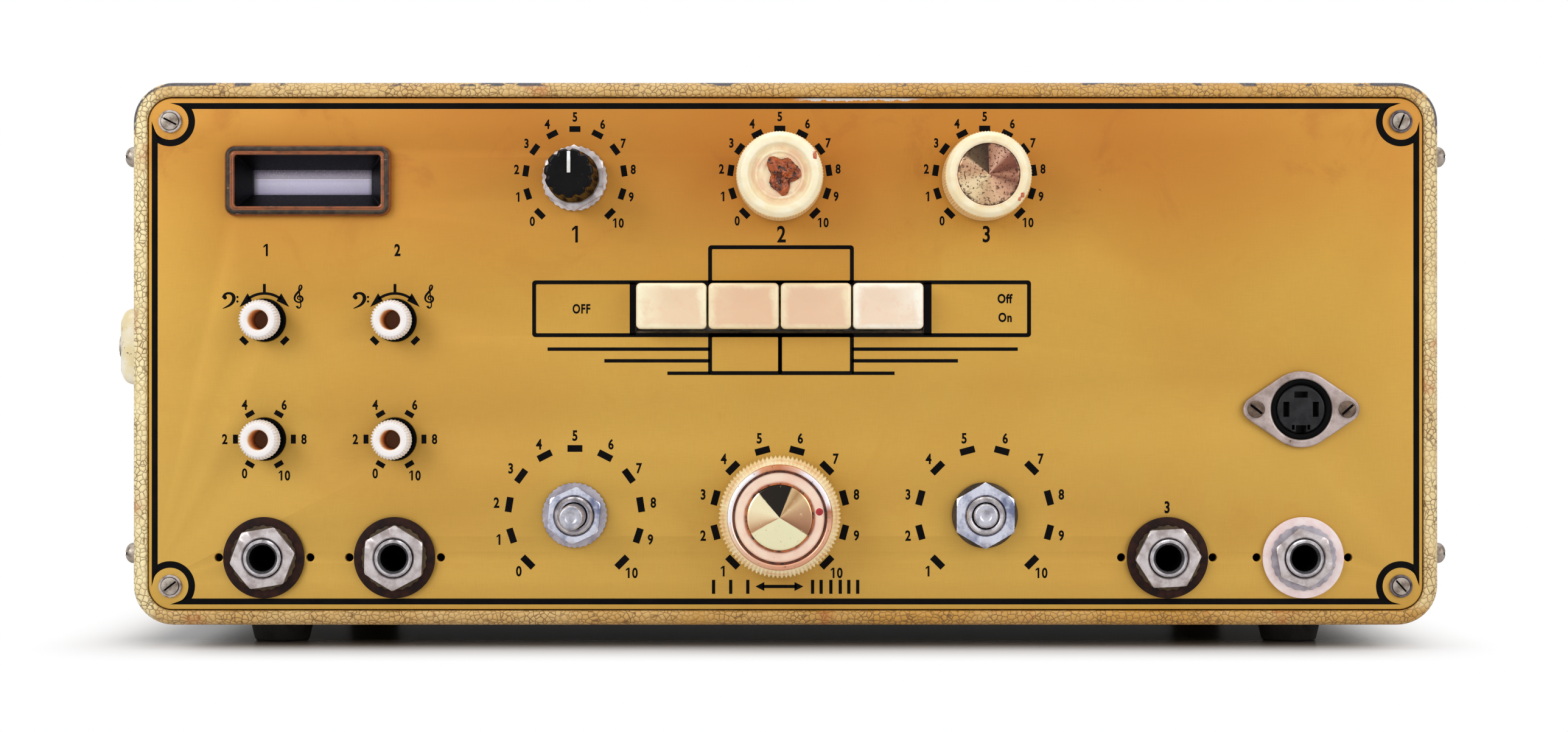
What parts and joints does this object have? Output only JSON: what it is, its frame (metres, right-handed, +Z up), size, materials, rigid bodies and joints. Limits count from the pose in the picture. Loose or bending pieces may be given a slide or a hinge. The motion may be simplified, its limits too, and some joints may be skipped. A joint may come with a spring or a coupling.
{
  "type": "tape echo unit",
  "caption": "Tape echo unit in a painted steel case: a front panel with knobs, push keys, magic eye and sockets, and a tape deck under a hinged lid.",
  "frame": {"origin": "centre of the whole unit's box, at the height of the feet's undersides", "axes": "+X to the right seen from the front, +Y to the back, +Z up"},
  "size_m": [0.3304, 0.24, 0.1441],
  "materials": {
    "case_enamel": "cream hammertone enamel, brown in the hollows, chipped to dark primer at the edges",
    "panel_gold": "gold anodised and brushed, stained and worn",
    "bezel_bronze": "dark bronze lacquer, rubbed at the edges",
    "eye_glass": "clear glass over a pale lavender strip",
    "plated_zinc": "zinc plated, dulled",
    "deck_steel": "brushed steel plate",
    "nickel": "nickel plate, dulled and spotted with rust",
    "spindle_steel": "turned steel",
    "key_ivory": "yellowed ivory plastic",
    "knob_cream": "cream plastic, softly shiny",
    "knob_white": "white plastic, shiny",
    "knob_black": "black plastic, shiny",
    "socket_black": "black moulded plastic",
    "inlet_brown": "dark brown moulded plastic",
    "tape_brown": "brown oxide tape, smooth",
    "foot_rubber": "black rubber, dull",
    "strap_cream": "cream covered strap, creased and worn"
  },
  "bodies": {
    "unit": {"case_shell": "case_enamel", "rear_panel": "case_enamel", "foot_front_left": "foot_rubber", "foot_front_right": "foot_rubber", "foot_rear_left": "foot_rubber", "foot_rear_right": "foot_rubber", "front_panel": "panel_gold", "eye_bezel": "bezel_bronze", "eye_tube": "eye_glass", "key_bank": "plated_zinc", "input_pots": "plated_zinc", "head_pots": "nickel", "reverb_pot": "nickel", "tone_pot": "nickel", "jack_socket_input_1": "socket_black", "jack_socket_input_2": "socket_black", "jack_socket_input_3": "socket_black", "jack_socket_output": "socket_black", "jack_nut_input_1": "nickel", "jack_nut_input_2": "nickel", "jack_nut_input_3": "nickel", "jack_nut_output": "nickel", "din_flange": "nickel", "din_insert": "socket_black", "chassis": "plated_zinc", "deck_plate": "deck_steel", "tape_loop": "tape_brown", "erase_head": "nickel", "record_head": "nickel", "playback_head_1": "nickel", "playback_head_2": "nickel", "motor": "plated_zinc", "mains_transformer": "plated_zinc", "valve_row": "eye_glass", "mains_inlet": "inlet_brown", "lid_hinge_pin": "spindle_steel", "handle_cap_front": "knob_cream", "handle_cap_rear": "knob_cream"},
    "lid": {"lid": "case_enamel"},
    "key_1": {"key_1": "key_ivory"},
    "key_2": {"key_2": "key_ivory"},
    "key_3": {"key_3": "key_ivory"},
    "key_4": {"key_4": "key_ivory"},
    "tone_knob_1": {"tone_knob_1": "knob_white"},
    "volume_knob_1": {"volume_knob_1": "knob_white"},
    "tone_knob_2": {"tone_knob_2": "knob_white"},
    "volume_knob_2": {"volume_knob_2": "knob_white"},
    "head_knob_1": {"head_knob_1": "knob_black"},
    "head_knob_2": {"head_knob_2": "knob_cream"},
    "head_knob_3": {"head_knob_3": "knob_cream"},
    "duration_knob": {"duration_knob": "knob_cream"},
    "reverb_spindle": {"reverb_spindle": "spindle_steel"},
    "tone_spindle": {"tone_spindle": "spindle_steel"},
    "head_carriage": {"head_carriage": "plated_zinc", "playback_head_3": "nickel"},
    "flywheel": {"flywheel": "spindle_steel"},
    "pinch_arm": {"pinch_arm": "plated_zinc"},
    "pinch_roller": {"pinch_roller": "foot_rubber"},
    "strap_front": {"handle_strap_front": "strap_cream"},
    "strap_rear": {"handle_strap_rear": "strap_cream"}
  },
  "joints": [
    {"name": "lid_hinge", "type": "hinge", "parent": "unit", "child": "lid", "pos_m": [0.00515, 0.078, 0.1417], "axis": [-1, 0, 0], "range_deg": [0, 100]},
    {"name": "key_1_press", "type": "slide", "parent": "unit", "child": "key_1", "axis": [0, 1, 0], "range_m": [0, 0.0045], "stiffness_N_per_m": 200, "springref_m": -0.002},
    {"name": "key_2_press", "type": "slide", "parent": "unit", "child": "key_2", "axis": [0, 1, 0], "range_m": [0, 0.0045], "stiffness_N_per_m": 200, "springref_m": -0.002},
    {"name": "key_3_press", "type": "slide", "parent": "unit", "child": "key_3", "axis": [0, 1, 0], "range_m": [0, 0.0045], "stiffness_N_per_m": 200, "springref_m": -0.002},
    {"name": "key_4_press", "type": "slide", "parent": "unit", "child": "key_4", "axis": [0, 1, 0], "range_m": [0, 0.0045], "stiffness_N_per_m": 200, "springref_m": -0.002},
    {"name": "tone_knob_1_turn", "type": "hinge", "parent": "unit", "child": "tone_knob_1", "pos_m": [-0.12255, -0.099, 0.0807], "axis": [0, 1, 0], "range_deg": [-135, 135]},
    {"name": "volume_knob_1_turn", "type": "hinge", "parent": "unit", "child": "volume_knob_1", "pos_m": [-0.12255, -0.099, 0.05159], "axis": [0, 1, 0], "range_deg": [-150, 150]},
    {"name": "tone_knob_2_turn", "type": "hinge", "parent": "unit", "child": "tone_knob_2", "pos_m": [-0.09055, -0.099, 0.0807], "axis": [0, 1, 0], "range_deg": [-135, 135]},
    {"name": "volume_knob_2_turn", "type": "hinge", "parent": "unit", "child": "volume_knob_2", "pos_m": [-0.09055, -0.099, 0.05159], "axis": [0, 1, 0], "range_deg": [-150, 150]},
    {"name": "head_knob_1_turn", "type": "hinge", "parent": "unit", "child": "head_knob_1", "pos_m": [-0.04645, -0.099, 0.11551], "axis": [0, 1, 0], "range_deg": [-135, 135]},
    {"name": "head_knob_2_turn", "type": "hinge", "parent": "unit", "child": "head_knob_2", "pos_m": [0.00375, -0.099, 0.11551], "axis": [0, 1, 0], "range_deg": [-197, 73]},
    {"name": "head_knob_3_turn", "type": "hinge", "parent": "unit", "child": "head_knob_3", "pos_m": [0.05395, -0.099, 0.11551], "axis": [0, 1, 0], "range_deg": [-260, 10]},
    {"name": "duration_turn", "type": "hinge", "parent": "unit", "child": "duration_knob", "pos_m": [0.00375, -0.099, 0.033], "axis": [0, 1, 0], "range_deg": [-216.1, 54.1]},
    {"name": "reverb_turn", "type": "hinge", "parent": "unit", "child": "reverb_spindle", "pos_m": [-0.04645, -0.099, 0.033], "axis": [0, 1, 0], "range_deg": [-135, 135]},
    {"name": "tone_turn", "type": "hinge", "parent": "unit", "child": "tone_spindle", "pos_m": [0.05395, -0.099, 0.033], "axis": [0, 1, 0], "range_deg": [-135, 135]},
    {"name": "carriage_slide", "type": "slide", "parent": "unit", "child": "head_carriage", "axis": [1, 0, 0], "range_m": [-0.02262, 0.00565]},
    {"name": "flywheel_spin", "type": "hinge", "parent": "unit", "child": "flywheel", "pos_m": [0.08515, -0.0273, 0.092], "axis": [0, 0, 1], "continuous": true},
    {"name": "pinch_arm_swing", "type": "hinge", "parent": "unit", "child": "pinch_arm", "pos_m": [0.11015, -0.0433, 0.092], "axis": [0, 0, 1], "range_deg": [0, 12], "stiffness_Nm_per_rad": 0.3, "springref_deg": -5.73},
    {"name": "pinch_roller_spin", "type": "hinge", "parent": "pinch_arm", "child": "pinch_roller", "pos_m": [0.08515, -0.0433, 0.092], "axis": [0, 0, 1], "continuous": true},
    {"name": "handle_front_swing", "type": "hinge", "parent": "unit", "child": "strap_front", "pos_m": [-0.15955, -0.044, 0.0745], "axis": [0, 0, 1], "range_deg": [0, 18]},
    {"name": "handle_fold", "type": "hinge", "parent": "strap_front", "child": "strap_rear", "pos_m": [-0.15955, 0.01, 0.0745], "axis": [0, 0, 1], "range_deg": [-36, 0]}
  ],
  "couplings": [
    {"joint": "duration_turn", "follows": "carriage_slide", "rad_per_m": 166.67},
    {"joint": "pinch_roller_spin", "follows": "flywheel_spin", "ratio": -0.36364},
    {"joint": "handle_fold", "follows": "handle_front_swing", "ratio": -2}
  ]
}
